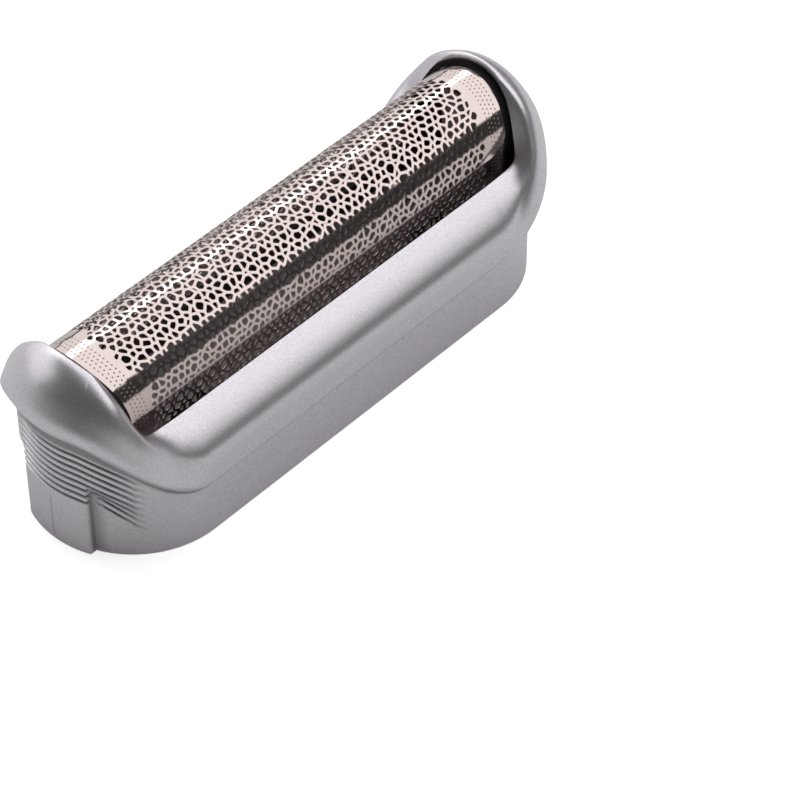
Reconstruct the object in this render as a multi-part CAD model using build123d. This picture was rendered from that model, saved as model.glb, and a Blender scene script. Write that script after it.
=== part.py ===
"""Shaver foil head: a silver push-fit frame, its bent foil and the black carrier under the foil.

Millimetres. Origin on the rim plane below the middle of the head, +X along the head, +Z up.
"""
import math
import os

from build123d import *

# Skirt: the straight-sided shell that slides over the shaver's neck
skirt_half_width = 9.2
end_centre = 18.2
skirt_wall = 1.1
skirt_inside_top = 6.0

# Lip: the step round the head, low along the sides and arched over each end.
# Angles are seen from above, 0 across the head and 90 along it.
lip_step = 0.5
lip_end_step = 0.8
lip_side_z = 6.35
lip_peak_z = 13.05
lip_rise_start = 5.0
lip_rise_end = 75.0

# Crest line: a crease along the sides, climbing at each end into the ridge of the ear.
# The belt and the ear's outer face lie below it, the rail and the ear's bevel inside it.
crease_y = 8.66
crease_z = 8.4
ridge_half_length = 6.65
ridge_squareness = 4
ear_top_z = 19.3
ear_rise_start = 3.0
ear_rise_end = 71.0
ridge_arch_radius = 7.3
ridge_arch_start = 38.0
ridge_arch_end = 55.0

# Rail along each side of the foil window, and bevel on each ear
rail_top_z = 12.0
rail_swell = 0.65
rail_fade_start = 12.0
rail_fade_end = 36.0
corner_softness = 0.4
bevel_fall = 1.05
window_half_width = 6.6
window_trim = 0.4
belt_inside_y = 7.4
belt_inside_top = 9.8

# Ears: the domed ends that stand over the foil
ear_bulge = 0.75
ear_fullness = 1.5
ear_blend_start = 0.0
ear_blend_end = 40.0
ear_face_x = 25.0
ear_face_radius = 11.0
pocket_radius = 5.6
pocket_axis_z = 11.0

# Grip on each end: ribs that follow the lip, and a raised pad
rib_count = 7
rib_pitch = 0.84
rib_first = 1.45
rib_groove = 0.38
rib_depth = 0.3
rib_run_out_y = 7.2
pad_half_width = 3.64
pad_raise = 0.6
pad_edge_round = 0.25
pad_rib_depth = 0.45

# Foil: a thin sheet bent over the carrier, with plain end bands
foil_radius = 5.15
foil_axis_z = 13.15
foil_thickness = 0.15
foil_low_z = 8.6
foil_end_gap = 0.65
hole_columns = 15
hole_pitch_x = 2.75
hole_rows = 8
hole_field_angle = 146.0
hole_radius = 0.72

# Carrier: the black frame that holds the foil bent
carrier_wall = 0.8
carrier_fit = 0.1
carrier_low_z = 7.2
carrier_bar_top_z = 9.6
carrier_end_length = 3.6
clip_length = 4.0
clip_place_x = 15.0
clip_top_z = 8.3
window_gap = 0.7
tunnel_end_x = 25.6

BIG = 80.0


def stadium(radius, centre, z0, z1):
    """Upright block with straight sides and half-round ends."""
    return Pos(0, 0, z0) * extrude(SlotCenterToCenter(2 * centre, 2 * radius), z1 - z0)


def along_x(outline, x0, x1):
    """Block with a y-z outline, running from x0 to x1."""
    face = make_face(Plane.YZ * outline)
    return Pos(x0, 0, 0) * extrude(face, x1 - x0, dir=(1, 0, 0))


def smooth_step(value, start, end):
    """0 before start, 1 after end, and an even S between."""
    share = min(max((value - start) / (end - start), 0), 1)
    return share * share * (3 - 2 * share)


def lip_height(angle):
    """Height of the lip at a plan angle."""
    return lip_side_z + (lip_peak_z - lip_side_z) * smooth_step(angle, lip_rise_start, lip_rise_end)


def below_lip(drop):
    """Everything under the lip arch lowered by drop, as a block along the head."""
    half = [(skirt_half_width * math.cos(math.radians(angle)), lip_height(angle) - drop)
            for angle in range(90, -1, -15)]
    points = [(-y, z) for y, z in reversed(half)] + half[1:]
    low = lip_side_z - drop
    far = skirt_half_width + BIG
    rest = Polyline(points[-1], (far, low), (far, -BIG), (-far, -BIG), (-far, low), points[0])
    return along_x(Spline(*points) + rest, -BIG, BIG)


def arch_block(radius, axis_z, low_z, x0, x1):
    """Half-round topped block along X."""
    outline = (Line((-radius, low_z), (-radius, axis_z))
               + ThreePointArc((-radius, axis_z), (0, axis_z + radius), (radius, axis_z))
               + Polyline((radius, axis_z), (radius, low_z), (-radius, low_z)))
    return along_x(outline, x0, x1)


def crest_radius(angle):
    """Plan distance of the crest line from the end centre, on a rounded-off rectangle."""
    across = math.cos(math.radians(angle)) / crease_y
    along = math.sin(math.radians(angle)) / ridge_half_length
    return (across**ridge_squareness + along**ridge_squareness) ** (-1 / ridge_squareness)


def crest_height(angle):
    """Height of the crest line: an even S from the crease, running into the ear's round arch."""
    climb = crease_z + (ear_top_z - crease_z) * smooth_step(angle, ear_rise_start, ear_rise_end)
    across = min(crest_radius(angle) * math.cos(math.radians(angle)), ridge_arch_radius)
    arch = ear_top_z - ridge_arch_radius + math.sqrt(ridge_arch_radius**2 - across**2)
    return climb + (arch - climb) * smooth_step(angle, ridge_arch_start, ridge_arch_end)


def window_radius(angle):
    """Plan distance of the window's edge from the end centre: straight side or bowed end."""
    along = math.sin(math.radians(angle))
    across = max(math.cos(math.radians(angle)), 1e-3)
    back = end_centre - (ear_face_x - ear_face_radius)
    bowed = math.sqrt(ear_face_radius**2 - (back * across) ** 2) - back * along
    return min(window_half_width / across, bowed)


def outer_points(turn):
    """Points of belt or ear from the lip up to the crest line, as (distance, height)."""
    blend = smooth_step(turn, ear_blend_start, ear_blend_end)
    lip_r = skirt_half_width + lip_step + (lip_end_step - lip_step) * blend
    lip_z = lip_height(turn)
    crest_r = crest_radius(turn)
    crest_z = crest_height(turn)
    points = [(lip_r, lip_z)]
    for share, climb in ((0.2, 12), (0.4, 28), (0.6, 46), (0.8, 66)):
        rise = math.radians(climb)
        belt_r = lip_r + (crest_r - lip_r) * share
        belt_z = lip_z + (crest_z - lip_z) * share
        ear_r = crest_r + (lip_r + ear_bulge - crest_r) * math.cos(rise) ** ear_fullness
        ear_z = lip_z + (crest_z - lip_z) * math.sin(rise)
        points.append((belt_r + (ear_r - belt_r) * blend, belt_z + (ear_z - belt_z) * blend))
    return points + [(crest_r, crest_z)]


def inner_points(turn):
    """Points of rail or bevel from the crest line in past the window's edge, as (distance, height)."""
    crest_r = crest_radius(turn)
    crest_z = crest_height(turn)
    edge_r = window_radius(turn) - window_trim
    bevel_z = crest_z - (crest_r - edge_r) * bevel_fall
    edge_z = (rail_top_z + bevel_z + math.hypot(rail_top_z - bevel_z, corner_softness)) / 2
    swell = rail_swell * (1 - smooth_step(turn, rail_fade_start, rail_fade_end))
    run = math.hypot(edge_r - crest_r, edge_z - crest_z)
    out_r = (edge_z - crest_z) / run
    out_z = (crest_r - edge_r) / run
    points = [(crest_r, crest_z)]
    for share, fullness in ((0.22, 0.95), (0.45, 1.1), (0.7, 0.87)):
        points.append((crest_r + (edge_r - crest_r) * share + out_r * swell * fullness,
                       crest_z + (edge_z - crest_z) * share + out_z * swell * fullness))
    return points + [(edge_r, edge_z)]


def upper_section(angle):
    """Section of belt, rail and ear at a plan angle, on an upright plane through the end centre."""
    turn = 90 - abs(90 - angle)
    outer = outer_points(turn)
    inner = inner_points(turn)
    rest = Polyline(inner[-1], (inner[-1][0], outer[0][1]), outer[0])
    plane = Plane(origin=(end_centre, 0, 0),
                  x_dir=(math.sin(math.radians(angle)), -math.cos(math.radians(angle)), 0),
                  z_dir=(-math.cos(math.radians(angle)), -math.sin(math.radians(angle)), 0))
    return make_face(plane * (Spline(*outer) + Spline(*inner) + rest))


def both_ends(piece):
    """A piece at the +X end and its twin at the other end."""
    return [piece, mirror(piece, about=Plane.YZ)]


def both_sides(piece):
    """A piece at the -Y side and its twin at the other side."""
    return [piece, mirror(piece, about=Plane.XZ)]


# Skirt up into the lip, with the raised pad on each end
under_lip = below_lip(0)
skirt = stadium(skirt_half_width, end_centre, 0, lip_peak_z) & below_lip(-lip_step)
face_x = end_centre + skirt_half_width
pad_slab = Pos(face_x, 0, lip_peak_z / 2) * Box(4 * pad_raise, 2 * pad_half_width, lip_peak_z)
pad = pad_slab & stadium(skirt_half_width + pad_raise, end_centre, 0, lip_peak_z) & under_lip
pad = fillet(pad.edges().filter_by(Axis.Z).sort_by(Axis.X)[-2:], pad_edge_round)
skirt = skirt + both_ends(pad)

# Ribs: grooves that follow the lip and run out at the rounded corners
corner_x = end_centre + math.sqrt(skirt_half_width**2 - rib_run_out_y**2)
floor_sagitta = face_x - rib_depth - corner_x
floor_radius = (rib_run_out_y**2 + floor_sagitta**2) / (2 * floor_sagitta)
floor_centre = face_x - rib_depth - floor_radius
rib_skin = (stadium(skirt_half_width + 2 * pad_raise, end_centre, 0, lip_peak_z)
            - stadium(floor_radius, floor_centre, -1, lip_peak_z + 1))
pad_core = pad_slab & stadium(skirt_half_width + pad_raise - pad_rib_depth, end_centre, 0, lip_peak_z)
rib_skin = rib_skin - both_ends(pad_core)
grooves = []
for number in range(rib_count):
    top = rib_first + number * rib_pitch
    band = below_lip(top) - below_lip(top + rib_groove)
    grooves.append(band & rib_skin)
skirt = skirt - grooves

# Belt, rail and ears: one section swept round each end, and run straight along the sides
end_angles = [0, 3, 9, 16, 23, 30, 37, 45, 54, 63, 72, 81, 90]
end_angles = end_angles + [180 - angle for angle in reversed(end_angles[:-1])]
ear = loft([upper_section(angle) for angle in end_angles])
side = extrude(upper_section(0), 2 * end_centre, dir=(-1, 0, 0))

# Hollow inside: neck space, then the narrower space under the rails, then the arched end pockets
inside_reach = end_centre + skirt_half_width - skirt_wall
inside_centre = inside_reach - belt_inside_y
inside = stadium(skirt_half_width - skirt_wall, end_centre, 0, BIG)
neck = stadium(skirt_half_width - skirt_wall, end_centre, -1, skirt_inside_top)
middle = stadium(belt_inside_y, inside_centre, 0, belt_inside_top)
face_centre = ear_face_x - ear_face_radius
window = (Pos(0, 0, belt_inside_top + BIG / 2 - 1) * Box(BIG, 2 * window_half_width, BIG)
          & stadium(ear_face_radius, face_centre, 0, 2 * BIG))
pocket = arch_block(pocket_radius, pocket_axis_z, 0, -inside_reach, inside_reach) & inside
tunnel_radius = foil_radius + window_gap
tunnel = arch_block(tunnel_radius, foil_axis_z - window_gap / 2, 0, -tunnel_end_x, tunnel_end_x) & inside

frame = skirt + both_sides(side) + both_ends(ear)
frame = frame - [neck, middle, window, tunnel, pocket]

# Foil: bent sheet, its ends bowed like the ear faces, with rows of openings
outer = arch_block(foil_radius, foil_axis_z, foil_low_z, -BIG, BIG)
inner = arch_block(foil_radius - foil_thickness, foil_axis_z, 0, -BIG, BIG)
foil_face_radius = ear_face_radius - foil_end_gap
foil = (outer - inner) & stadium(foil_face_radius, face_centre, 0, BIG)
holes = []
step = hole_field_angle / (hole_rows - 1)
for column in range(hole_columns):
    x = (column - (hole_columns - 1) / 2) * hole_pitch_x
    odd = column % 2
    for row in range(hole_rows - odd):
        angle = (row - (hole_rows - 1 - odd) / 2) * step
        place = Pos(x, 0, foil_axis_z) * Rot(angle, 0, 0) * Pos(0, 0, foil_radius)
        holes.append(place * extrude(RegularPolygon(hole_radius, 6), foil_radius / 4, both=True))
foil = foil - holes

# Carrier: an arch under each foil end, joined by a bar along each side with clips to the frame
carrier_radius = foil_radius - foil_thickness
arch = (arch_block(carrier_radius, foil_axis_z, carrier_low_z, tunnel_end_x - carrier_end_length, tunnel_end_x)
        - arch_block(carrier_radius - carrier_wall, foil_axis_z, 0, 0, BIG))
bar_height = carrier_bar_top_z - carrier_low_z
bar = (Pos(0, -carrier_radius + carrier_wall / 2, carrier_low_z + bar_height / 2)
       * Box(2 * tunnel_end_x, carrier_wall, bar_height))
clip_height = clip_top_z - carrier_low_z
clip_depth = belt_inside_y - carrier_radius + carrier_wall
clip = (Pos(clip_place_x, -belt_inside_y + clip_depth / 2, carrier_low_z + clip_height / 2)
        * Box(clip_length, clip_depth, clip_height))
clips = both_sides(clip) + [mirror(one, about=Plane.YZ) for one in both_sides(clip)]
carrier = both_ends(arch)[0] + both_ends(arch)[1] + both_sides(bar)
carrier = (carrier & stadium(skirt_half_width - skirt_wall - carrier_fit, end_centre, 0, BIG)) + clips

os.makedirs("parts", exist_ok=True)
export_step(frame, "parts/frame.step")
export_step(foil, "parts/foil.step")
export_step(carrier, "parts/foil_carrier.step")
for name, piece in (("frame", frame), ("foil", foil), ("foil_carrier", carrier)):
    box = piece.bounding_box()
    print(name, "solids", len(piece.solids()), "volume", round(piece.volume, 1), "size", box.size)
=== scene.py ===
# %% [markdown]
# # Shaver foil head
# This is a push-fit head from an electric shaver: a silver moulded frame, a finely perforated
# metal foil bent half-round along it, and a black carrier that holds the foil in shape. The
# solids already give these pieces their size and place. The frame and the foil are worked out
# again here as surfaces of two parameters, because a satin shell shows every flat of a coarse
# mesh, and a foil has far more holes than a solid can carry. The carrier keeps its solid and only
# gets a finish.

import math

import bpy
import numpy as np
from mathutils import Matrix, Vector


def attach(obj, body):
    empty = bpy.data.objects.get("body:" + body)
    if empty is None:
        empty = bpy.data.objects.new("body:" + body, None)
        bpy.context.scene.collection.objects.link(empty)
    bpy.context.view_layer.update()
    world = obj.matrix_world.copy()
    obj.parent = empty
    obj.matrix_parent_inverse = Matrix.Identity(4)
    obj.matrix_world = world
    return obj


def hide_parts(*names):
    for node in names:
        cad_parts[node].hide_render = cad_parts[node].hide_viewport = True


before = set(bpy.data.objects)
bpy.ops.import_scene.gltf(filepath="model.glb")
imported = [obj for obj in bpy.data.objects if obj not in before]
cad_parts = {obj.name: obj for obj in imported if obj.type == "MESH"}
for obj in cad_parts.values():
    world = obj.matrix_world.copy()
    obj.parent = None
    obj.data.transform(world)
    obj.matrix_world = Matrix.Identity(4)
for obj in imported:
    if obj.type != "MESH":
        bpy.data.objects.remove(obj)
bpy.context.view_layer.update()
MM = 0.001
print("frame loaded:", sorted(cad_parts))

# %% [markdown]
# ## Helpers for the pieces
# A piece is a set of points and faces. Modelling operators could build it step by step, but whole
# arrays are exact and quick, and a changed number changes the whole piece. Every piece goes
# through one function, which makes the mesh, smooths it up to real edges, hangs it on the root
# body and hides the CAD node that it stands for. Sizes are millimetres in the frame of the solids:
# the origin lies on the rim plane under the middle of the head, X runs along it and Z up.

# %% Mesh from whole arrays
def smooth_step(value, start, end):
    """0 before start, 1 after end, and an even S between: three squares less two cubes."""
    share = np.clip((value - start) / (end - start), 0, 1)
    return share * share * (3 - 2 * share)


def pairs(reach, height):
    """Distances and heights side by side, as (station, point, 2)."""
    return np.stack(np.broadcast_arrays(reach, height), axis=2)


def add_piece(name, points, faces, node, edge_angle):
    """Mesh from points in millimetres and a list of face arrays, standing for a CAD node."""
    mesh = bpy.data.meshes.new(name)
    rows = [row for block in faces for row in block.tolist()]
    mesh.from_pydata((points * MM).tolist(), [], rows)
    mesh.polygons.foreach_set("use_smooth", np.ones(len(rows), bool))
    mesh.set_sharp_from_angle(angle=math.radians(edge_angle))
    mesh.update()
    piece = bpy.data.objects.new(name, mesh)
    bpy.context.collection.objects.link(piece)
    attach(piece, "root")
    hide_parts(node)
    triangles = sum(block.shape[0] * (block.shape[1] - 2) for block in faces)
    print(name, len(points), "points", triangles, "triangles")
    return piece


print("a quarter of the way, the smooth step stands at", smooth_step(0.25, 0.0, 1.0))

# %% [markdown]
# ## The way round the head
# The frame is one moulding whose wall runs straight along the sides and half-round at the ends.
# It could be a bevelled box, but nearly every height on it changes on the way round. So the shell
# is one closed section carried round a stadium. A station is an upright plane on that way: where
# it stands, which way it faces, and its turn, which is 0 across the head and 90 along it.
# Stations crowd together where the wall bends sharply: at the pads' edges and at the mould line.

# %% Stations
END_CENTRE = 18.2
QUARTER = 90
SIDE_STATIONS = 24
PAD_EDGE_TURNS = (65.4, 70.2)
PAD_EDGE_STEP = 0.16
MOULD_LINE_TURNS = [89.2, 89.6]
SMALLEST_SHARE = 0.01


def stations():
    """(origin x, facing x, facing y, turn) of each upright plane, in order round the head."""
    even = np.linspace(0, QUARTER, QUARTER + 1)
    pad_edge = np.arange(*PAD_EDGE_TURNS, PAD_EDGE_STEP)
    quarter = np.unique(np.concatenate([even, pad_edge, MOULD_LINE_TURNS]))
    sweep = np.concatenate([quarter, 2 * QUARTER - quarter[-2::-1]])
    turn = QUARTER - np.abs(QUARTER - sweep)
    along, across = np.sin(np.radians(sweep)), np.cos(np.radians(sweep))
    run = np.linspace(-END_CENTRE, END_CENTRE, SIDE_STATIONS + 2)[1:-1]
    flat, one = np.zeros_like(run), np.ones_like(run)
    centre = np.full_like(sweep, END_CENTRE)
    origin = np.concatenate([run, centre, run[::-1], -centre])
    facing_x = np.concatenate([flat, along, flat, -along])
    facing_y = np.concatenate([-one, -across, one, across])
    return origin, facing_x, facing_y, np.concatenate([flat, turn, flat, turn])


def across_share(turn):
    """Cosine of the turn, kept off zero so that it can divide."""
    return np.maximum(np.cos(np.radians(turn)), SMALLEST_SHARE)


ORIGIN_X, FACING_X, FACING_Y, TURN = stations()
print("stations:", len(TURN))

# %% [markdown]
# ## Lip and window
# The lip is the edge under the belt. It is low along the sides and climbs to an arch over each
# end. The window is the opening that the foil stands in, straight along the sides and bowed at
# the ends. Both could be drawn as curves by hand. As a height or a distance for each turn they
# stay smooth all round, and the same formulas serve every station at once.

# %% Lip and window lines
LIP_RADIUS = 9.7
LIP_END_RADIUS = 10.0
LIP_SIDE_Z = 6.35
LIP_PEAK_Z = 13.05
LIP_RISE = (5.0, 75.0)
EAR_BLEND = (0.0, 40.0)
WINDOW_HALF_WIDTH = 6.25
FACE_RADIUS = 11.0
FACE_CENTRE = 14.0


def lip_height(turn):
    """Height of the lip: low on the side, an even S up to the arch."""
    return LIP_SIDE_Z + (LIP_PEAK_Z - LIP_SIDE_Z) * smooth_step(turn, *LIP_RISE)


def lip_radius(turn):
    """The lip stands out a little more over the ribbed ends, by an even S."""
    return LIP_RADIUS + (LIP_END_RADIUS - LIP_RADIUS) * smooth_step(turn, *EAR_BLEND)


def circle_radius(turn, radius, offset):
    """Distance, along a facing, to a circle whose centre lies offset behind the end centre."""
    back = offset * np.sin(np.radians(turn))
    side = offset * np.cos(np.radians(turn))
    return np.sqrt(radius**2 - side**2) - back


def window_radius(turn):
    """Distance to the window: the nearer of a straight side and a bowed end."""
    straight = WINDOW_HALF_WIDTH / across_share(turn)
    bowed = circle_radius(turn, FACE_RADIUS, END_CENTRE - FACE_CENTRE)
    return np.minimum(straight, bowed)


print("lip height, side and end:", lip_height(np.array([0, QUARTER])))
print("window distance, side and end:", window_radius(np.array([0, QUARTER])).round(2))

# %% [markdown]
# ## Crest line
# On the real frame the crest is where the outside and the inside slope meet: a soft shoulder
# between belt and rail along the sides, and the ridge of the ear at the ends. A subdivided cage
# could follow it, but would need many points to hold the change from shoulder to ridge. Here it
# is two formulas: a rounded-off rectangle in plan, and a climb that runs into a round arch. The
# shoulder is fuller than the crease of the solid, because the light on the real one shows a soft
# bend and no hollow.

# %% Crest line
CREASE_Y = 8.66
CREASE_Z = 8.4
SHOULDER_OUT = 0.84
SHOULDER_UP = 0.25
SHOULDER_FADE = (0.0, 26.0)
RIDGE_HALF_LENGTH = 6.65
RIDGE_SQUARENESS = 4
RIDGE_LAND = 0.2
EAR_TOP_Z = 19.3
EAR_RISE = (3.0, 71.0)
ARCH_RADIUS = 7.3
ARCH_BLEND = (38.0, 55.0)


def crest_radius(turn):
    """Fourth powers of the across and along shares add up to one; fuller along the sides."""
    across = np.cos(np.radians(turn)) / CREASE_Y
    along = np.sin(np.radians(turn)) / RIDGE_HALF_LENGTH
    plain = (across**RIDGE_SQUARENESS + along**RIDGE_SQUARENESS) ** (-1 / RIDGE_SQUARENESS)
    fuller = plain + SHOULDER_OUT * (1 - smooth_step(turn, *SHOULDER_FADE))
    return np.maximum(fuller, window_radius(turn) + RIDGE_LAND)


def crest_height(turn):
    """An even S from the shoulder, running into the round arch of the ear."""
    climb = CREASE_Z + (EAR_TOP_Z - CREASE_Z) * smooth_step(turn, *EAR_RISE)
    climb = climb + SHOULDER_UP * (1 - smooth_step(turn, *SHOULDER_FADE))
    across = np.minimum(crest_radius(turn) * np.cos(np.radians(turn)), ARCH_RADIUS)
    arch = EAR_TOP_Z - ARCH_RADIUS + np.sqrt(ARCH_RADIUS**2 - across**2)
    return climb + (arch - climb) * smooth_step(turn, *ARCH_BLEND)


print("crest height, side and end:", crest_height(np.array([0, QUARTER])))

# %% [markdown]
# ## Skirt, grip ribs and pad
# The skirt is the plain wall that goes on to the shaver. Its ends carry fine grip ribs, and below
# them a raised pad with a mould line down its middle. Ribs could be a bump in the material, but
# they show on the outline, so they are geometry. Rows of points crowd at each groove. Behind the
# ribs the wall swells evenly to the level of the pad, so the ribs run on across it, and only
# below them does the pad stand up with an edge.

# %% Rows of the skirt
RIB_COUNT = 8
RIB_PITCH = 0.745
RIB_FIRST = 1.47
GROOVE_ACROSS = np.array([-0.26, -0.2, -0.13, 0.0, 0.13, 0.2, 0.26])
GROOVE_SHARES = np.array([0.0, 0.55, 0.95, 1.0, 0.95, 0.55, 0.0])
LIP_DROPS = np.array([0.0, 0.12, 0.36, 0.6, 0.75, 0.88, 1.0, 1.15])
LAST_DROP = 7.3
FOOT_SHARES = np.array([0.8, 0.55, 0.3, 0.1])


def skirt_rows():
    """(drop below the lip, groove share) of each row: under the lip, in the grooves, below them."""
    middles = RIB_FIRST + RIB_PITCH * np.arange(RIB_COUNT)
    grooves = (middles[:, None] + RIB_PITCH * GROOVE_ACROSS).ravel()
    drops = np.concatenate([LIP_DROPS, grooves, [LAST_DROP]])
    shares = [np.zeros(len(LIP_DROPS)), np.tile(GROOVE_SHARES, RIB_COUNT), [0.0]]
    return drops, np.concatenate(shares)


DROPS, GROOVES = skirt_rows()
print("rows of the skirt:", len(DROPS) + len(FOOT_SHARES))

# %% Wall of the skirt
SKIRT_RADIUS = 9.2
LEAST_FOOT = 0.8
RIB_DEPTH = 0.26
RIB_FADE = (36.0, 58.0)
RIB_FACE = (36.0, 68.0)
PAD_HALF_WIDTH = 3.64
PAD_RADIUS = 9.8
PAD_ROUND = 0.22
PAD_START = (4.4, 5.9)
PAD_FOOT = (58.0, 66.6)
PAD_FOOT_EDGE = 1
MOULD_LINE_DEPTH = 0.05
MOULD_LINE_HALF_ANGLE = 0.8


def skirt_radius(turn):
    """Skirt radius, stepping up a flat side face to the raised pad with a parabola at its edge."""
    side_face = PAD_HALF_WIDTH / across_share(turn)
    near = np.clip(0.5 + 0.5 * (PAD_RADIUS - side_face) / PAD_ROUND, 0, 1)
    pad = side_face * near + PAD_RADIUS * (1 - near) - PAD_ROUND * near * (1 - near)
    return np.maximum(SKIRT_RADIUS, pad)


def beside_pad(turn):
    """An even S up to 1 at the foot of the pad's edge, and 0 on the pad."""
    return (smooth_step(turn, *PAD_FOOT) * (turn < PAD_FOOT[1] + PAD_FOOT_EDGE))[:, None]


def mould_line(turn):
    """1 on the mould line down the middle of the pad, 0 beside it."""
    return (1 - smooth_step(QUARTER - turn, 0, MOULD_LINE_HALF_ANGLE))[:, None]


def groove_depths(turn):
    """Depth of each point in a groove, which runs out at the corners and beside the pad's edge."""
    at_corner = smooth_step(turn, *RIB_FADE)[:, None]
    return GROOVES * RIB_DEPTH * at_corner * (1 - smooth_step(DROPS, *PAD_START) * beside_pad(turn))


def skirt_wall(turn):
    """Outer wall from just above the rim up to the lip: ribbed face above, pad and skirt below."""
    lip_z = lip_height(turn)[:, None]
    squeeze = np.minimum(1, (lip_z - LEAST_FOOT) / LAST_DROP)
    ribbed_z = lip_z - squeeze * DROPS
    pad = skirt_radius(turn)[:, None]
    face = SKIRT_RADIUS + (PAD_RADIUS - SKIRT_RADIUS) * smooth_step(turn, *RIB_FACE)[:, None]
    ribbed_r = face + (pad - face) * smooth_step(DROPS, *PAD_START) - groove_depths(turn)
    plain_z = ribbed_z[:, -1:] * FOOT_SHARES
    plain_r = np.repeat(pad - MOULD_LINE_DEPTH * mould_line(turn), len(FOOT_SHARES), axis=1)
    wall = pairs(np.hstack([ribbed_r, plain_r]), np.hstack([ribbed_z, plain_z]))
    return wall[:, ::-1]


print("skirt radius, side and end:", skirt_radius(np.array([0, QUARTER])))

# %% [markdown]
# ## Painted shade and dirt on the skirt
# On the real head the grooves, the strip under the lip and the foot of the pad's edge look darker
# than their depth alone explains, because they lie in shade and some dirt gathers there; the
# mould line down the pad is a dark line too. An ambient occlusion node could find such places,
# but a value on the mesh stays with the piece wherever it goes. So each point of the wall carries
# its own value of painted shade and dirt, which later darkens the paint.

# %% Shade of the wall
# Strengths and reaches of the painted shade and dirt: grooves, under the lip, pad's foot, mould
# line.
RIB_DARK_DEPTH = 0.15
LIP_SHADE_START = 0.85
LIP_SHADE_SIDE = 1.0
LIP_SHADE_END = 1.35
PAD_FOOT_SHADE = 0.7
MOULD_LINE_SHADE = 0.6


def wall_shade(turn):
    """Painted shade and dirt, 0 to 1: the darkest of groove, lip, pad's foot and mould line."""
    in_groove = np.clip(groove_depths(turn) / RIB_DARK_DEPTH, 0, 1)
    over_end = smooth_step(turn, *EAR_BLEND)[:, None]
    shade_end = LIP_SHADE_SIDE + (LIP_SHADE_END - LIP_SHADE_SIDE) * over_end
    under_lip = 1 - smooth_step(DROPS, LIP_SHADE_START, shade_end)
    foot = PAD_FOOT_SHADE * beside_pad(turn)
    ribbed = np.maximum(np.maximum(in_groove, under_lip), foot * smooth_step(DROPS, *PAD_START))
    line = np.maximum(foot, MOULD_LINE_SHADE * mould_line(turn))
    return np.hstack([ribbed, np.repeat(line, len(FOOT_SHARES), axis=1)])[:, ::-1]


print("mean shade of the wall:", wall_shade(TURN).mean().round(3))

# %% [markdown]
# ## Belt, rail and ear
# Above the lip the section is two smooth curves that meet on the crest line. The outer one is a
# sloping belt along the sides and a dome at the ends. The inner one is a pillow-shaped rail along
# the sides and a bevel at the ends. Blender's own curves could be lofted, but not for hundreds of
# stations at once, so a natural cubic is solved for all of them as one stack of small matrices.

# %% Smooth curve through a few points
def chord_knots(points):
    """Gaps between each station's points, and the running length at every point."""
    gaps = np.linalg.norm(np.diff(points, axis=1), axis=2)
    start = np.zeros((len(gaps), 1))
    return gaps, np.concatenate([start, np.cumsum(gaps, axis=1)], axis=1)


def second_slopes(points, gaps):
    """Second slopes of the natural cubic: zero at both ends, first slopes that agree between."""
    size = points.shape[1]
    inner = np.arange(1, size - 1)
    matrix = np.tile(np.eye(size), (len(points), 1, 1))
    matrix[:, inner, inner - 1] = gaps[:, :-1]
    matrix[:, inner, inner] = 2 * (gaps[:, :-1] + gaps[:, 1:])
    matrix[:, inner, inner + 1] = gaps[:, 1:]
    slopes = np.diff(points, axis=1) / gaps[:, :, None]
    right = np.zeros_like(points)
    right[:, inner] = 6 * np.diff(slopes, axis=1)
    return np.linalg.solve(matrix, right)


def curve_through(points, place):
    """Natural cubic by chord length through each station's points, at given running lengths."""
    gaps, knots = chord_knots(points)
    bent = second_slopes(points, gaps)
    last = points.shape[1] - 2
    left = np.clip((place[:, :, None] >= knots[:, None, 1:-1]).sum(axis=2), 0, last)
    row = np.arange(len(points))[:, None]
    gap = gaps[row, left][:, :, None]
    ahead = (knots[row, left + 1] - place)[:, :, None]
    behind = (place - knots[row, left])[:, :, None]
    here, there = points[row, left], points[row, left + 1]
    bent_here, bent_there = bent[row, left], bent[row, left + 1]
    return ((bent_here * ahead**3 + bent_there * behind**3) / (6 * gap)
            + (here / gap - bent_here * gap / 6) * ahead
            + (there / gap - bent_there * gap / 6) * behind)


def soft_corner(before, corner, after, count=7):
    """Parabola that touches both sides of a corner, without its two end points."""
    share = np.linspace(0, 1, count + 2)[1:-1, None]
    return ((1 - share) ** 2 * before[:, None] + 2 * share * (1 - share) * corner[:, None]
            + share**2 * after[:, None])


right_angle = np.array([[[0.0, 1.0], [0.0, 0.0], [1.0, 0.0]]])
print("middle of a softened corner:", soft_corner(*right_angle.swapaxes(0, 1), count=1).ravel())

# %% [markdown]
# ### Points of the two curves
# Six points hold the outer curve and five the inner one. On the ear they lie on a dome, whose
# reach falls with a power of a cosine while its height climbs with the sine. On the belt they lie
# on a line, and a smooth step goes from one form to the other. The rail swells out from its
# chord.

# %% Outer and inner points
EAR_BULGE = 0.75
EAR_FULLNESS = 1.5
OUTER_SHARES = (0.2, 0.4, 0.6, 0.8)
OUTER_CLIMBS = (12.0, 28.0, 46.0, 66.0)
RAIL_TOP_Z = 12.0
RAIL_SWELL = 0.41
RAIL_FADE = (8.0, 44.0)
PILLOW_SHARES = (0.15, 0.42, 0.7)
PILLOW_FULLNESS = (0.65, 1.0, 0.78)
CORNER_SOFTNESS = 1.0
BEVEL_FALL = 1.05
WINDOW_TRIM = 0.05


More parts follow.
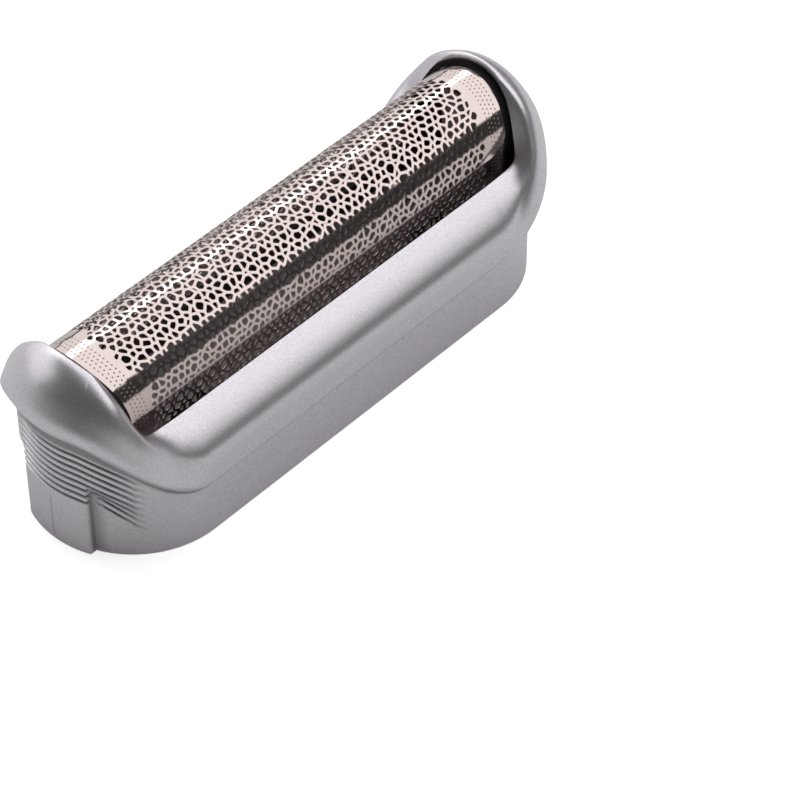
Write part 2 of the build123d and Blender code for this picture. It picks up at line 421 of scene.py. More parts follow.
def outer_points(turn):
    """Points from the lip up to the crest: even shares on the belt, a dome on the ear, blended."""
    blend = smooth_step(turn, *EAR_BLEND)[:, None]
    lip_r, lip_z = lip_radius(turn)[:, None], lip_height(turn)[:, None]
    crest_r, crest_z = crest_radius(turn)[:, None], crest_height(turn)[:, None]
    share, climb = np.array(OUTER_SHARES), np.radians(OUTER_CLIMBS)
    belt_r, belt_z = lip_r + (crest_r - lip_r) * share, lip_z + (crest_z - lip_z) * share
    ear_r = crest_r + (lip_r + EAR_BULGE - crest_r) * np.cos(climb) ** EAR_FULLNESS
    ear_z = lip_z + (crest_z - lip_z) * np.sin(climb)
    middle = pairs(belt_r + (ear_r - belt_r) * blend, belt_z + (ear_z - belt_z) * blend)
    return np.concatenate([pairs(lip_r, lip_z), middle, pairs(crest_r, crest_z)], axis=1)


def inner_points(turn):
    """Points from the crest in past the window's edge: a chord, swollen square to itself.

    The edge's height is the higher of rail top and falling bevel, softened where they meet.
    """
    crest_r, crest_z = crest_radius(turn)[:, None], crest_height(turn)[:, None]
    edge_r = window_radius(turn)[:, None] - WINDOW_TRIM
    bevel_z = crest_z - (crest_r - edge_r) * BEVEL_FALL
    edge_z = (RAIL_TOP_Z + bevel_z + np.hypot(RAIL_TOP_Z - bevel_z, CORNER_SOFTNESS)) / 2
    run = np.hypot(edge_r - crest_r, edge_z - crest_z)
    fading = (1 - smooth_step(turn, *RAIL_FADE))[:, None]
    swell = RAIL_SWELL * fading * np.array(PILLOW_FULLNESS)
    share = np.array(PILLOW_SHARES)
    middle = pairs(crest_r + (edge_r - crest_r) * share + (edge_z - crest_z) / run * swell,
                   crest_z + (edge_z - crest_z) * share + (crest_r - edge_r) / run * swell)
    return np.concatenate([pairs(crest_r, crest_z), middle, pairs(edge_r, edge_z)], axis=1)


print("outer and inner points:", outer_points(TURN).shape[1], inner_points(TURN).shape[1])

# %% [markdown]
# ### One curve over the crest
# The two curves are sampled evenly by length. Lip edge and crest are cut back a little and closed
# with parabolas, which catch the light as the small radii of the real moulding do. A Bevel
# modifier could round them, but not with a width that shrinks where the land on the ear gets
# narrow.

# %% Upper curve
LIP_ROUND = 0.07
LIP_ROUND_POINTS = 3
CREST_ROUND = 0.55
NARROW_ROUND = 0.6
LEAST_RAIL = 0.3


def length_to(points, radius, count=160):
    """Running length at which each station's curve comes in to a given distance."""
    total = chord_knots(points)[1][:, -1]
    reach = curve_through(points, np.linspace(0, 1, count) * total[:, None])[:, :, 0]
    after = np.clip((reach > radius[:, None]).sum(axis=1), 1, count - 1)
    row = np.arange(len(points))
    before_r, after_r = reach[row, after - 1], reach[row, after]
    return total * (after - 1 + (before_r - radius) / (before_r - after_r)) / (count - 1)


def upper_curve(turn, outer_count=40, inner_count=34):
    """Outside from the lip over the crest to the window's edge, as (station, point, 2)."""
    outer, inner = outer_points(turn), inner_points(turn)
    last = chord_knots(outer)[1][:, -1:] - CREST_ROUND
    belt = curve_through(outer, LIP_ROUND + (last - LIP_ROUND) * np.linspace(0, 1, outer_count))
    edge = np.maximum(length_to(inner, window_radius(turn)), LEAST_RAIL)[:, None]
    first = np.minimum(CREST_ROUND, NARROW_ROUND * edge)
    rail = curve_through(inner, first + (edge - first) * np.linspace(0, 1, inner_count))
    under_lip = outer[:, 0] - np.array([LIP_ROUND, 0])
    lip = soft_corner(under_lip, outer[:, 0], belt[:, 0], LIP_ROUND_POINTS)
    crest = soft_corner(belt[:, -1], outer[:, -1], rail[:, 0])
    return np.concatenate([under_lip[:, None], lip, belt, crest, rail], axis=1)


UPPER = upper_curve(TURN)
print("points over the crest:", UPPER.shape[1], "highest:", UPPER[:, :, 1].max().round(2))

# %% [markdown]
# ## Inside of the shell
# Under the window's edge the shell is hollow: along the sides by the space under the rail, at the
# ends by the arched tunnel that the carrier sits in and the pocket below it. Boolean cuts could
# hollow it, but leave ragged edges. Here every station gets the same six corners, at heights and
# distances that follow the tunnel or the rail, so the grid of the outside simply goes on inside.

# %% Corners inside
INSIDE_RADIUS = 8.1
NECK_TOP = 6.0
RAIL_INSIDE = 7.4
RAIL_UNDER_Z = 9.8
TUNNEL_RADIUS = 5.85
TUNNEL_AXIS_Z = 12.8
TUNNEL_END = 7.4
POCKET_RADIUS = 5.6
POCKET_AXIS_Z = 11.0
LEAST_EDGE = 0.15
LEAST_LEDGE = 0.1
LEAST_STEP = 0.3
EDGE_ROUND = 0.12
WINDOW_ROUND = 0.25
MOST_ROUND = 0.4
TINY = 1e-6


def arch_height(across, radius, axis_z):
    """Height of a round arch at a distance across, level with its axis outside it."""
    return axis_z + np.sqrt(np.maximum(radius**2 - across**2, 0))


def inside_corners(turn, edge_z):
    """Corners from the window's edge, whose height is given, down to the rim: tunnel or rail."""
    across = np.cos(np.radians(turn))
    along = np.maximum(np.sin(np.radians(turn)), SMALLEST_SHARE)
    edge_r = window_radius(turn)
    in_tunnel = edge_r * across < TUNNEL_RADIUS
    arch_z = arch_height(edge_r * across, TUNNEL_RADIUS, TUNNEL_AXIS_Z)
    under_z = np.where(in_tunnel, np.minimum(arch_z, edge_z - LEAST_EDGE), RAIL_UNDER_Z)
    ledge_r = INSIDE_RADIUS - LEAST_LEDGE
    reach_r = np.minimum(TUNNEL_END / along, ledge_r)
    wall_r = np.where(in_tunnel, reach_r, RAIL_INSIDE / across_share(turn))
    wall_r = np.clip(wall_r, edge_r + LEAST_LEDGE, ledge_r)
    pocket_z = arch_height(wall_r * across, POCKET_RADIUS, POCKET_AXIS_Z)
    in_pocket = wall_r * across < POCKET_RADIUS
    step_z = np.where(in_pocket, np.minimum(pocket_z, under_z - LEAST_STEP), NECK_TOP)
    inside = np.full_like(turn, INSIDE_RADIUS)
    flat = np.zeros_like(turn)
    corners = [(edge_r, under_z), (wall_r, under_z), (wall_r, step_z),
               (inside, step_z), (inside, flat), (skirt_radius(turn), flat)]
    return np.stack([np.stack(corner, axis=1) for corner in corners], axis=1)


def rounded(loop, first, sizes):
    """Corners of a closed loop from number first on, each replaced by three points round it."""
    size = np.pad(sizes, (first, 0))
    before = np.roll(loop, 1, axis=1) - loop
    after = np.roll(loop, -1, axis=1) - loop
    back_share = size / np.maximum(np.linalg.norm(before, axis=2), TINY)
    on_share = size / np.maximum(np.linalg.norm(after, axis=2), TINY)
    start = loop + before * np.minimum(back_share, MOST_ROUND)[:, :, None]
    end = loop + after * np.minimum(on_share, MOST_ROUND)[:, :, None]
    middle = (start + end) / 4 + loop / 2
    three = np.stack([start, middle, end], axis=2)[:, first:]
    return np.concatenate([loop[:, :first], three.reshape(len(loop), -1, 2)], axis=1)


INSIDE = inside_corners(TURN, UPPER[:, -1, 1])
print("inside corners at each station:", INSIDE.shape[1])

# %% [markdown]
# ## Frame
# The real frame is one moulding without a join, so it is one grid without a seam: wall, upper
# curve and inside corners make a closed section at each station, and the stations close round the
# head. The painted shade and dirt of the wall go into the mesh as an attribute, one value for each
# point.

# %% Frame shell
SHELL_EDGE_ANGLE = 40


def ring_grid(sections):
    """Points and quads of closed sections: reach goes along each station's facing, height up."""
    reach, height = sections[:, :, 0], sections[:, :, 1]
    x = ORIGIN_X[:, None] + reach * FACING_X[:, None]
    y = reach * FACING_Y[:, None]
    points = np.stack([x, y, height], axis=2)
    number = np.arange(height.size).reshape(height.shape)
    on = np.roll(number, -1, axis=0)
    quads = [number, on, np.roll(on, -1, axis=1), np.roll(number, -1, axis=1)]
    return points.reshape(-1, 3), np.stack(quads, axis=2).reshape(-1, 4)


outside = np.concatenate([skirt_wall(TURN), UPPER], axis=1)
section = np.concatenate([outside, INSIDE], axis=1)
corner_sizes = [WINDOW_ROUND] + [EDGE_ROUND] * INSIDE.shape[1]
shell_points, shell_quads = ring_grid(rounded(section, outside.shape[1] - 1, corner_sizes))
shell = add_piece("frame_shell", shell_points, [shell_quads], "frame",
                  SHELL_EDGE_ANGLE)
# The groove attribute holds painted shade and dirt, not depth; it darkens the paint later.
shade = wall_shade(TURN)
groove = np.zeros((len(TURN), len(shell_points) // len(TURN)), np.float32)
groove[:, :shade.shape[1]] = shade
attribute = shell.data.attributes.new("groove", "FLOAT", "POINT")
attribute.data.foreach_set("value", groove.ravel())

# %% [markdown]
# ## Foil
# The real foil is grown as a thin sheet of nickel with an irregular net of small polygonal holes.
# A picture of holes would do from far off, but the light falls through this net on to the inside,
# so the holes are cut. The sheet is laid out flat as a honeycomb whose corners are pushed about
# by chance, and by a size drawn for each cell, because the real holes differ in size and no two
# rows look alike.

# %% Flat honeycomb
PITCH = 0.78
CORNER_JITTER = 0.2
CELL_VARIETY = 0.22
FOIL_RADIUS = 5.15
FOIL_AXIS_Z = 13.15
FOIL_LOW_Z = 8.6
FOIL_FACE_RADIUS = 10.35
FOIL_SIDE = FOIL_AXIS_Z - FOIL_LOW_Z
FOIL_ARC = math.pi * FOIL_RADIUS
FOIL_GIRTH = 2 * FOIL_SIDE + FOIL_ARC
FOIL_HALF_LENGTH = FACE_CENTRE + FOIL_FACE_RADIUS
SPARE_CELLS = 3
KEY_STEPS = 64
CHANCE = np.random.default_rng(7)


def honeycomb():
    """Corner points and six corner numbers per cell of a jittered honeycomb over the flat sheet."""
    columns = int(2 * FOIL_HALF_LENGTH / PITCH) + SPARE_CELLS
    row_step = PITCH * math.sqrt(3) / 2
    rows = int(FOIL_GIRTH / row_step) + SPARE_CELLS
    column, row = np.meshgrid(np.arange(columns), np.arange(rows))
    x = (column + 0.5 * (row % 2)) * PITCH - FOIL_HALF_LENGTH - PITCH / 2
    t = row * row_step - row_step / 2
    middle = np.stack([x.ravel(), t.ravel()], axis=1)
    angle = np.radians(30 + 60 * np.arange(6))
    spoke = PITCH / math.sqrt(3) * np.stack([np.cos(angle), np.sin(angle)], axis=1)
    corner = (middle[:, None] + spoke).reshape(-1, 2)
    key = np.round(corner / PITCH * KEY_STEPS).astype(int)
    _, first, number = np.unique(key, axis=0, return_index=True, return_inverse=True)
    points = corner[first]
    cells = number.reshape(-1, 6)
    push = np.zeros_like(points)
    size = CHANCE.uniform(-1, 1, len(cells))[:, None, None] * CELL_VARIETY * spoke
    np.add.at(push, cells, size)
    return points + push + CHANCE.normal(0, CORNER_JITTER / 2, points.shape) * PITCH, cells


net_corners, net_cells = honeycomb()
print("flat sheet:", round(2 * FOIL_HALF_LENGTH, 1), "by", round(FOIL_GIRTH, 1), "mm")
print("cells before trimming:", len(net_cells))

# %% [markdown]
# ### Holes
# A hole is a cell drawn in by half a web, with its corners cut off, because such fine holes never
# have sharp corners. The end bands and the long edges stay whole. Between the cell and its hole
# lie six strips and six small tips, so the webs share their edges and the sheet is one unbroken
# skin.

# %% Pierced sheet
WEB = 0.245
CORNER_CUT = 0.14
BAND_WIDTH = 2.7
EDGE_BAND = 0.8
LEAST_CORNER = 0.45


def inset(corners, distance):
    """Polygons with every side moved in: a corner moves along the sum of its two side normals."""
    side = np.roll(corners, -1, axis=1) - corners
    side = side / np.maximum(np.linalg.norm(side, axis=2, keepdims=True), TINY)
    normal = np.stack([-side[:, :, 1], side[:, :, 0]], axis=2)
    last = np.roll(normal, 1, axis=1)
    share = 1 + (normal * last).sum(axis=2, keepdims=True)
    return corners + distance * (normal + last) / np.maximum(share, LEAST_CORNER)


def pierced_sheet(points, cells):
    """Flat points, faces of the sheet and the number of holes: whole cells, strips and tips."""
    sheet_low = np.array([-FOIL_HALF_LENGTH, 0.0])
    sheet_high = np.array([FOIL_HALF_LENGTH, FOIL_GIRTH])
    clamped = np.clip(points, sheet_low, sheet_high)
    free = (clamped == points).all(axis=1)
    cells = cells[free[cells].any(axis=1)]
    middle = clamped[cells].mean(axis=1)
    open_cell = ((np.abs(middle[:, 0]) < FOIL_HALF_LENGTH - BAND_WIDTH)
                 & (middle[:, 1] > EDGE_BAND) & (middle[:, 1] < FOIL_GIRTH - EDGE_BAND))
    whole, pierced = cells[~open_cell], cells[open_cell]
    hole = inset(clamped[pierced], WEB / 2)
    back = hole + CORNER_CUT * (np.roll(hole, 1, axis=1) - hole)
    on = hole + CORNER_CUT * (np.roll(hole, -1, axis=1) - hole)
    rim = np.stack([back, on], axis=2).reshape(-1, 2)
    back_number = len(clamped) + 12 * np.arange(len(pierced))[:, None] + 2 * np.arange(6)
    on_number = back_number + 1
    strips = np.stack([pierced, np.roll(pierced, -1, axis=1),
                       np.roll(back_number, -1, axis=1), on_number], axis=2)
    tips = np.stack([pierced, on_number, back_number], axis=2)
    faces = [whole, strips.reshape(-1, 4), tips.reshape(-1, 3)]
    return np.concatenate([clamped, rim]), faces, len(pierced)


def without_strays(points, faces):
    """Points that some face uses, and the faces with their new numbers."""
    used = np.unique(np.concatenate([block.ravel() for block in faces]))
    renumber = np.zeros(len(points), int)
    renumber[used] = np.arange(len(used))
    return points[used], [renumber[block] for block in faces]


flat_points, sheet_faces, hole_count = pierced_sheet(net_corners, net_cells)
flat_points, sheet_faces = without_strays(flat_points, sheet_faces)
print("holes in the foil:", hole_count)

# %% [markdown]
# ### Bent foil
# The flat sheet goes up one side, over the half-round and down the other. Its ends are bowed in
# plan, so the length is stretched to fit. A Solidify modifier could thicken it, but the second
# skin is simply the same sheet bent at a smaller radius, and a wall along every open edge closes
# it. Each point keeps its place on the flat sheet, so that the finish can follow the metal.

# %% Foil net
FOIL_THICKNESS = 0.1
FOIL_EDGE_ANGLE = 35


def bend(flat, depth):
    """Flat sheet to head: the arc's share of the girth gives an angle, the rest is straight."""
    t = flat[:, 1]
    angle = np.clip((t - FOIL_SIDE) / FOIL_ARC, 0, 1) * math.pi
    rise = np.minimum(t, FOIL_SIDE) - FOIL_SIDE
    fall = FOIL_SIDE + FOIL_ARC - np.maximum(t, FOIL_SIDE + FOIL_ARC)
    y = -FOIL_RADIUS * np.cos(angle)
    end = FACE_CENTRE + np.sqrt(FOIL_FACE_RADIUS**2 - y**2)
    x = flat[:, 0] / FOIL_HALF_LENGTH * end
    radius = FOIL_RADIUS - depth
    z = FOIL_AXIS_Z + radius * np.sin(angle) + rise + fall
    return np.stack([x, -radius * np.cos(angle), z], axis=1)


def open_edges(faces):
    """Directed edges that have no twin running the other way."""
    edges = np.concatenate([np.stack([block, np.roll(block, -1, axis=1)], axis=2).reshape(-1, 2)
                            for block in faces])
    size = edges.max() + 1
    lone = ~np.isin(edges[:, 0] * size + edges[:, 1], edges[:, 1] * size + edges[:, 0])
    return edges[lone]


total = len(flat_points)
start, end = open_edges(sheet_faces).T
edge_walls = np.stack([end, start, start + total, end + total], axis=1)
under_faces = [block[:, ::-1] + total for block in sheet_faces]
foil_points = np.concatenate([bend(flat_points, 0), bend(flat_points, FOIL_THICKNESS)])
foil = add_piece("foil_net", foil_points, sheet_faces + [edge_walls] + under_faces, "foil",
                 FOIL_EDGE_ANGLE)
sheet = np.tile(np.column_stack([flat_points, np.zeros(total)]), (2, 1))
sheet[total:, 2] = 1
layout = foil.data.attributes.new("sheet_mm", "FLOAT_VECTOR", "POINT")
layout.data.foreach_set("vector", sheet.astype(np.float32).ravel())

# %% [markdown]
# ## Fine grain
# The painted shell and the black moulding both have a fine grain: flakes in the paint, a matt
# texture in the mould. It is an effect of two materials, so it is one node group: a small noise
# that tilts the surface and shifts its brightness. It reads object coordinates in metres, so its
# scale is that of the real finish and doesn't stretch with the mesh.

# %% Grain group
GRAIN_DETAIL = 2.0
GRAIN_HEIGHT = 0.00002


def add_node(tree, kind, **values):
    """Node of a kind, with named properties set."""
    node = tree.nodes.new(kind)
    for name, value in values.items():
        setattr(node, name, value)
    return node


def math_node(tree, operation, first, second=0):
    """Math node on two sockets or numbers; gives its output socket."""
    node = add_node(tree, "ShaderNodeMath", operation=operation)
    for socket, value in zip(node.inputs, (first, second)):
        if isinstance(value, (int, float)):
            socket.default_value = value
        else:
            tree.links.new(value, socket)
    return node.outputs[0]


def grain_group():
    """Group: scale, strength and contrast in; a brightness round one and a tilted normal out."""
    tree = bpy.data.node_groups.new("Fine grain", "ShaderNodeTree")
    for name, default in (("Scale", 9000.0), ("Strength", 0.2), ("Contrast", 0.2)):
        socket = tree.interface.new_socket(name, in_out="INPUT", socket_type="NodeSocketFloat")
        socket.default_value = default
    tree.interface.new_socket("Brightness", in_out="OUTPUT", socket_type="NodeSocketFloat")
    tree.interface.new_socket("Normal", in_out="OUTPUT", socket_type="NodeSocketVector")
    source = add_node(tree, "NodeGroupInput")
    sink = add_node(tree, "NodeGroupOutput")
    place = add_node(tree, "ShaderNodeTexCoord")
    noise = add_node(tree, "ShaderNodeTexNoise")
    noise.inputs["Detail"].default_value = GRAIN_DETAIL
    bump = add_node(tree, "ShaderNodeBump")
    bump.inputs["Distance"].default_value = GRAIN_HEIGHT
    link = tree.links.new
    link(place.outputs["Object"], noise.inputs["Vector"])
    link(source.outputs["Scale"], noise.inputs["Scale"])
    link(noise.outputs["Fac"], bump.inputs["Height"])
    link(source.outputs["Strength"], bump.inputs["Strength"])
    centred = math_node(tree, "SUBTRACT", noise.outputs["Fac"], 0.5)
    shift = math_node(tree, "MULTIPLY", centred, source.outputs["Contrast"])
    link(math_node(tree, "ADD", shift, 1.0), sink.inputs["Brightness"])
    link(bump.outputs["Normal"], sink.inputs["Normal"])
    return tree


GRAIN = grain_group()
print("grain group nodes:", len(GRAIN.nodes))

# %% [markdown]
# ## Silver paint
# The frame is plastic under a silver paint: metal flakes in a clear binder, satin and slightly
# sparkling. A mirror-like metal would be too spotless and a grey plastic too dead, so it is a
# mostly metallic surface of middling roughness, with the grain as its flakes. The painted shade
# and dirt that the mesh carries darken it in the grooves, under the lip and at the pad's foot,
# and the mould line is darkened too.

# %% Silver paint
SILVER = (0.81, 0.775, 0.825)
SILVER_METALLIC = 0.85
SILVER_ROUGHNESS = 0.33
FLAKES = {"Scale": 7000.0, "Strength": 0.4, "Contrast": 0.6}
# Strength of the painted shade and dirt that the groove attribute lays on the paint.
PAINTED_SHADE_AND_DIRT = 0.6


def new_material(name):
    """Node material with its tree and its Principled BSDF."""
    material = bpy.data.materials.new(name)
    material.use_nodes = True
    return material, material.node_tree, material.node_tree.nodes["Principled BSDF"]


def add_grain(tree, shader, values):
    """The grain group in a material: it tilts the normal, and its brightness socket is given."""
    node = add_node(tree, "ShaderNodeGroup", node_tree=GRAIN)
    for name, value in values.items():
        node.inputs[name].default_value = value
    tree.links.new(node.outputs["Normal"], shader.inputs["Normal"])
    return node.outputs["Brightness"]


def add_colour(tree, shader, colour, brightness):
    """Base colour: a plain colour times a brightness that changes over the surface."""
    tint = add_node(tree, "ShaderNodeVectorMath", operation="SCALE")
    tint.inputs[0].default_value = colour
    tree.links.new(brightness, tint.inputs["Scale"])
    tree.links.new(tint.outputs["Vector"], shader.inputs["Base Color"])


def dress(piece, material):
    """One material on all of a piece."""
    piece.data.materials.clear()
    piece.data.materials.append(material)
    print(piece.name, "is finished in", material.name)


def silver_paint():
    """Satin metallic paint: colour times flake brightness, darkened by painted shade and dirt."""
    material, tree, shader = new_material("silver_paint")
    brightness = add_grain(tree, shader, FLAKES)
    # The groove attribute is painted shade and dirt; it darkens the paint's colour.
    shade_node = add_node(tree, "ShaderNodeAttribute", attribute_name="groove")
    shade_and_dirt = math_node(tree, "MULTIPLY", shade_node.outputs["Fac"], PAINTED_SHADE_AND_DIRT)
    lit_and_clean = math_node(tree, "SUBTRACT", 1.0, shade_and_dirt)
    add_colour(tree, shader, SILVER, math_node(tree, "MULTIPLY", brightness, lit_and_clean))
    shader.inputs["Metallic"].default_value = SILVER_METALLIC
    shader.inputs["Roughness"].default_value = SILVER_ROUGHNESS
    return material


dress(shell, silver_paint())

# %% [markdown]
# ## Foil metal
# The foil is bare nickel with a warm tint, bright outside; inside it is rougher, and its colour
# is darker as painted shade. On its plain end bands stand staggered columns of tiny dimples. They
# are far smaller than the holes, so they are a finish: the place on the flat sheet is folded into
# a small square cell, and a circle in it is dulled. The sheet's own coordinates are read and not
# object ones, so the rows follow the bend.

# %% Foil metal
NICKEL = (0.74, 0.63, 0.60, 1)
DIMPLE = (0.45, 0.40, 0.38, 1)
# The inner side's darker colour is painted shade inside the head.
NICKEL_INSIDE_SHADED = (0.58, 0.51, 0.50, 1)
NICKEL_ROUGHNESS = 0.1
DULL_ROUGHNESS = 0.65
DOT_START = 0.35
DOT_PITCH = 0.42
DOT_SHARE = 0.2
DOT_COLUMNS = 4


def dot_mask(tree, x, t):
    """1 in a dot: a circle in each cell of staggered columns, counted from the sheet's end."""
    from_end = math_node(tree, "SUBTRACT", FOIL_HALF_LENGTH, math_node(tree, "ABSOLUTE", x))
    past_start = math_node(tree, "SUBTRACT", from_end, DOT_START)
    column = math_node(tree, "DIVIDE", past_start, DOT_PITCH)
    number = math_node(tree, "FLOOR", column)
    stagger = math_node(tree, "MULTIPLY", math_node(tree, "MODULO", number, 2.0), 0.5)
    row = math_node(tree, "ADD", math_node(tree, "DIVIDE", t, DOT_PITCH), stagger)
    off_x = math_node(tree, "SUBTRACT", math_node(tree, "FRACT", column), 0.5)
    off_t = math_node(tree, "SUBTRACT", math_node(tree, "FRACT", row), 0.5)
    square = math_node(tree, "ADD", math_node(tree, "POWER", off_x, 2.0),
                       math_node(tree, "POWER", off_t, 2.0))
    in_dot = math_node(tree, "LESS_THAN", square, DOT_SHARE**2)
    in_band = math_node(tree, "MULTIPLY", math_node(tree, "GREATER_THAN", number, -0.5),
                        math_node(tree, "LESS_THAN", number, DOT_COLUMNS - 0.5))
    return math_node(tree, "MULTIPLY", in_dot, in_band)


def mix_colour(tree, factor, first, second):
    """Colour mix by a socket; the first colour is a value or a socket."""
    node = add_node(tree, "ShaderNodeMix", data_type="RGBA")
    tree.links.new(factor, node.inputs["Factor"])
    if isinstance(first, tuple):
        node.inputs["A"].default_value = first
    else:
        tree.links.new(first, node.inputs["A"])
    node.inputs["B"].default_value = second
    return node.outputs["Result"]


def foil_metal():
    """Warm nickel: dots and inner side are duller and rougher; the inner side is darker as painted
    shade.
    """
    material, tree, shader = new_material("foil_metal")
    place = add_node(tree, "ShaderNodeAttribute", attribute_name="sheet_mm")
    axes = add_node(tree, "ShaderNodeSeparateXYZ")
    tree.links.new(place.outputs["Vector"], axes.inputs[0])
    x, t, inner = axes.outputs
    dot = dot_mask(tree, x, t)
    dotted = mix_colour(tree, dot, NICKEL, DIMPLE)
    tree.links.new(mix_colour(tree, inner, dotted, NICKEL_INSIDE_SHADED), shader.inputs["Base Color"])
    dull = math_node(tree, "MULTIPLY", math_node(tree, "MAXIMUM", dot, inner), DULL_ROUGHNESS)
    tree.links.new(math_node(tree, "ADD", dull, NICKEL_ROUGHNESS), shader.inputs["Roughness"])
    shader.inputs["Metallic"].default_value = 1.0
    return material


dress(foil, foil_metal())

# %% [markdown]
# ## Black plastic
# The carrier is a plain black moulding, seen only as a dark edge at the foil's ends and through
# the holes. A flat black would look like a hole itself, so it keeps the gloss of plastic, broken
# by the grain of its mould. It is put on the solid's own mesh, which needs no better form.

# %% Black plastic
BLACK = (0.012, 0.012, 0.013)
BLACK_ROUGHNESS = 0.5
MOULD_GRAIN = {"Scale": 3000.0, "Strength": 0.2, "Contrast": 0.4}


def black_plastic():
    """Matt black moulding: colour times grain brightness."""
    material, tree, shader = new_material("black_plastic")
    add_colour(tree, shader, BLACK, add_grain(tree, shader, MOULD_GRAIN))
    shader.inputs["Roughness"].default_value = BLACK_ROUGHNESS
    return material


dress(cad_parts["foil_carrier"], black_plastic())

# %% [markdown]
# ## Floor and card
# The head stands on a pale floor that shows as white to the camera and keeps a soft shadow. A
# white floor lit until it clips would flood the silver with light, so the floor only adds some
# brightness for camera rays. A small card lies under the head, because that added white would
# otherwise show through the foil's holes; its warm grey, darker than the floor, is painted shade
# for the floor under the head. Both let the camera look through them from below.

# %% Stage
HALF_FLOOR = 3.0
FLOOR_TONE = (0.80, 0.80, 0.80, 1)
FLOOR_SEEN = (0.95, 0.95, 0.95, 1)
FLOOR_GLOW = 0.65
# The card's warm grey, darker than the floor's tone, is painted shade for the floor under the head.
CARD_TONE = (0.62, 0.58, 0.56, 1)
CARD_RADIUS = (SKIRT_RADIUS + INSIDE_RADIUS) / 2
CARD_HEIGHT = 0.02
CARD_END_POINTS = 33


def add_flat(name, outline, height, material):
    """Flat stage piece with a given outline in metres."""
    mesh = bpy.data.meshes.new(name)
    corners = np.column_stack([outline, np.full(len(outline), height)])
    mesh.from_pydata(corners.tolist(), [], [tuple(range(len(outline)))])
    mesh.materials.append(material)
    flat = bpy.data.objects.new(name, mesh)
    bpy.context.collection.objects.link(flat)
    print("stage piece:", name)


def one_sided(tree, shader):
    """Lets the camera look through a stage piece from behind."""
    geometry = add_node(tree, "ShaderNodeNewGeometry")
    clear = add_node(tree, "ShaderNodeBsdfTransparent")
    mix = add_node(tree, "ShaderNodeMixShader")
    tree.links.new(geometry.outputs["Backfacing"], mix.inputs[0])
    tree.links.new(shader.outputs[0], mix.inputs[1])
    tree.links.new(clear.outputs[0], mix.inputs[2])
    tree.links.new(mix.outputs[0], tree.nodes["Material Output"].inputs["Surface"])


def floor_white():
    """Matt floor: pale for light and reflections, white with a faint shadow for the camera."""
    material, tree, shader = new_material("floor")
    seen = add_node(tree, "ShaderNodeLightPath").outputs["Is Camera Ray"]
    tone = mix_colour(tree, seen, FLOOR_TONE, FLOOR_SEEN)
    tree.links.new(tone, shader.inputs["Base Color"])
    shader.inputs["Roughness"].default_value = 1.0
    shader.inputs["Specular IOR Level"].default_value = 0.0
    shader.inputs["Emission Color"].default_value = (1, 1, 1, 1)
    glow = math_node(tree, "MULTIPLY", seen, FLOOR_GLOW)
    tree.links.new(glow, shader.inputs["Emission Strength"])
    one_sided(tree, shader)
    return material


def card_grey():
    """Matt warm grey card, darker than the floor: painted shade under the head."""
    material, tree, shader = new_material("card")
    shader.inputs["Base Color"].default_value = CARD_TONE
    shader.inputs["Specular IOR Level"].default_value = 0.0
    one_sided(tree, shader)
    return material


def card_outline():
    """Stadium in metres: a half-circle round each end centre."""
    end_turn = np.radians(np.linspace(-QUARTER, QUARTER, CARD_END_POINTS))
    x = END_CENTRE + CARD_RADIUS * np.cos(end_turn)
    y = CARD_RADIUS * np.sin(end_turn)
    return MM * np.concatenate([np.stack([x, y], axis=1), np.stack([-x, -y], axis=1)])


floor_outline = HALF_FLOOR * np.array([(-1, -1), (1, -1), (1, 1), (-1, 1)])
add_flat("floor", floor_outline, -CARD_HEIGHT * MM, floor_white())
add_flat("card", card_outline(), CARD_HEIGHT * MM, card_grey())

# %% [markdown]
# ## Light
# Satin metal shows what it faces, so the light is two wide soft panels in a dim room. One hangs
# over the head, off to the far end, and lies in the foil's top and in the rail. One leans in from
# behind and edges the far side. Small lamps would give the metal hard spots instead of broad
# sheens. The level of a panel is its own brightness, so its power grows with its area.

# %% Panels and room
OVERHEAD = {"place": (0.45, -0.05, 0.60), "aim": (0.45, -0.05, 0.0), "size": (1.2, 1.8)}
OVERHEAD_LEVEL = 1.1
BACK = {"place": (-0.05, 0.85, 0.48), "aim": (-0.05, 0.0, 0.15), "size": (2.2, 0.85)}
BACK_LEVEL = 0.95
ROOM_LEVEL = 0.04


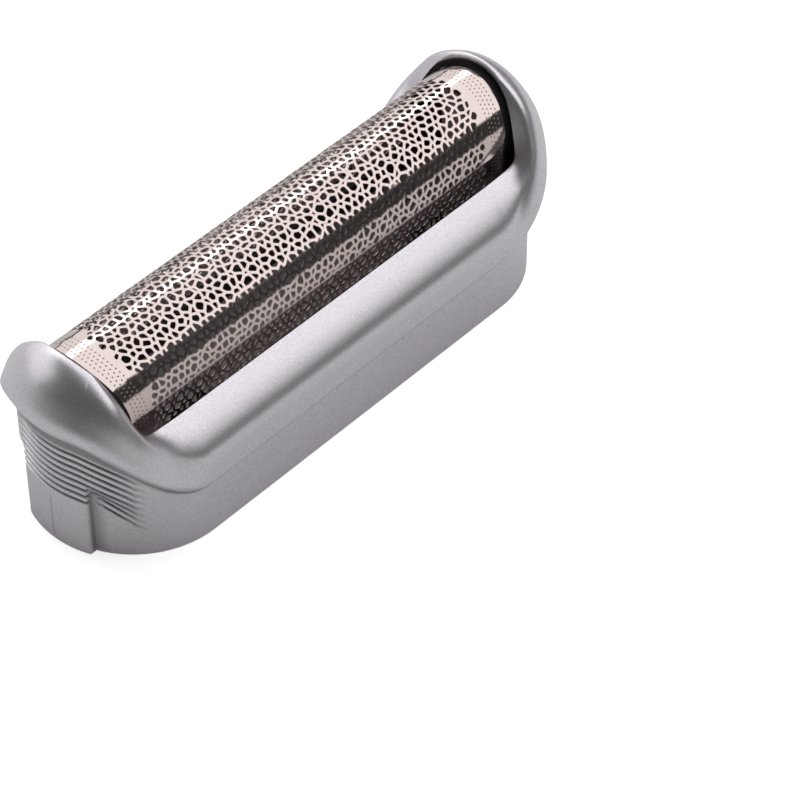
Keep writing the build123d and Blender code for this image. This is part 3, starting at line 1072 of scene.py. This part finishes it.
def add_panel(name, level, place, aim, size):
    """Soft rectangular panel in metres, turned to a point, with an even brightness level."""
    lamp = bpy.data.lights.new(name, "AREA")
    lamp.shape = "RECTANGLE"
    lamp.size, lamp.size_y = size
    lamp.energy = math.pi * size[0] * size[1] * level
    panel = bpy.data.objects.new(name, lamp)
    panel.location = place
    panel.rotation_euler = (Vector(aim) - Vector(place)).to_track_quat("-Z", "Y").to_euler()
    bpy.context.collection.objects.link(panel)
    print("panel:", name, "power", round(lamp.energy, 2))


def set_room(level):
    """Even dim room light."""
    world = bpy.data.worlds.new("room")
    world.use_nodes = True
    background = world.node_tree.nodes["Background"]
    background.inputs["Color"].default_value = (level, level, level, 1)
    bpy.context.scene.world = world


add_panel("overhead", OVERHEAD_LEVEL, **OVERHEAD)
add_panel("back", BACK_LEVEL, **BACK)
set_room(ROOM_LEVEL)

# %% [markdown]
# ## Camera
# The picture is taken from high over one corner of the head with a long lens, so the far end is
# hardly smaller than the near one. The camera's own axes are worked out from its place and its
# aim, which keeps it level, and nothing on the head depends on it.

# %% Camera
CAMERA_PLACE = Vector((-148.46, -148.71, 206.45))
CAMERA_AIM = Vector((3.40, -10.40, 0.0))
CAMERA_LENS = 150.8
CAMERA_SENSOR = 36.0
CAMERA_NEAREST = 0.01


def add_camera():
    """Camera at its place, level, looking at its aim: right is square to ahead and to Z."""
    data = bpy.data.cameras.new("camera")
    data.lens = CAMERA_LENS
    data.sensor_width = CAMERA_SENSOR
    data.clip_start = CAMERA_NEAREST
    camera = bpy.data.objects.new("camera", data)
    ahead = (CAMERA_AIM - CAMERA_PLACE).normalized()
    right = ahead.cross(Vector((0, 0, 1))).normalized()
    up = right.cross(ahead)
    axes = Matrix((right, up, -ahead)).transposed().to_4x4()
    camera.matrix_world = Matrix.Translation(CAMERA_PLACE * MM) @ axes
    bpy.context.collection.objects.link(camera)
    bpy.context.scene.camera = camera
    print("camera distance in mm:", round((CAMERA_AIM - CAMERA_PLACE).length, 1))


add_camera()
bpy.context.scene.view_settings.view_transform = "Standard"
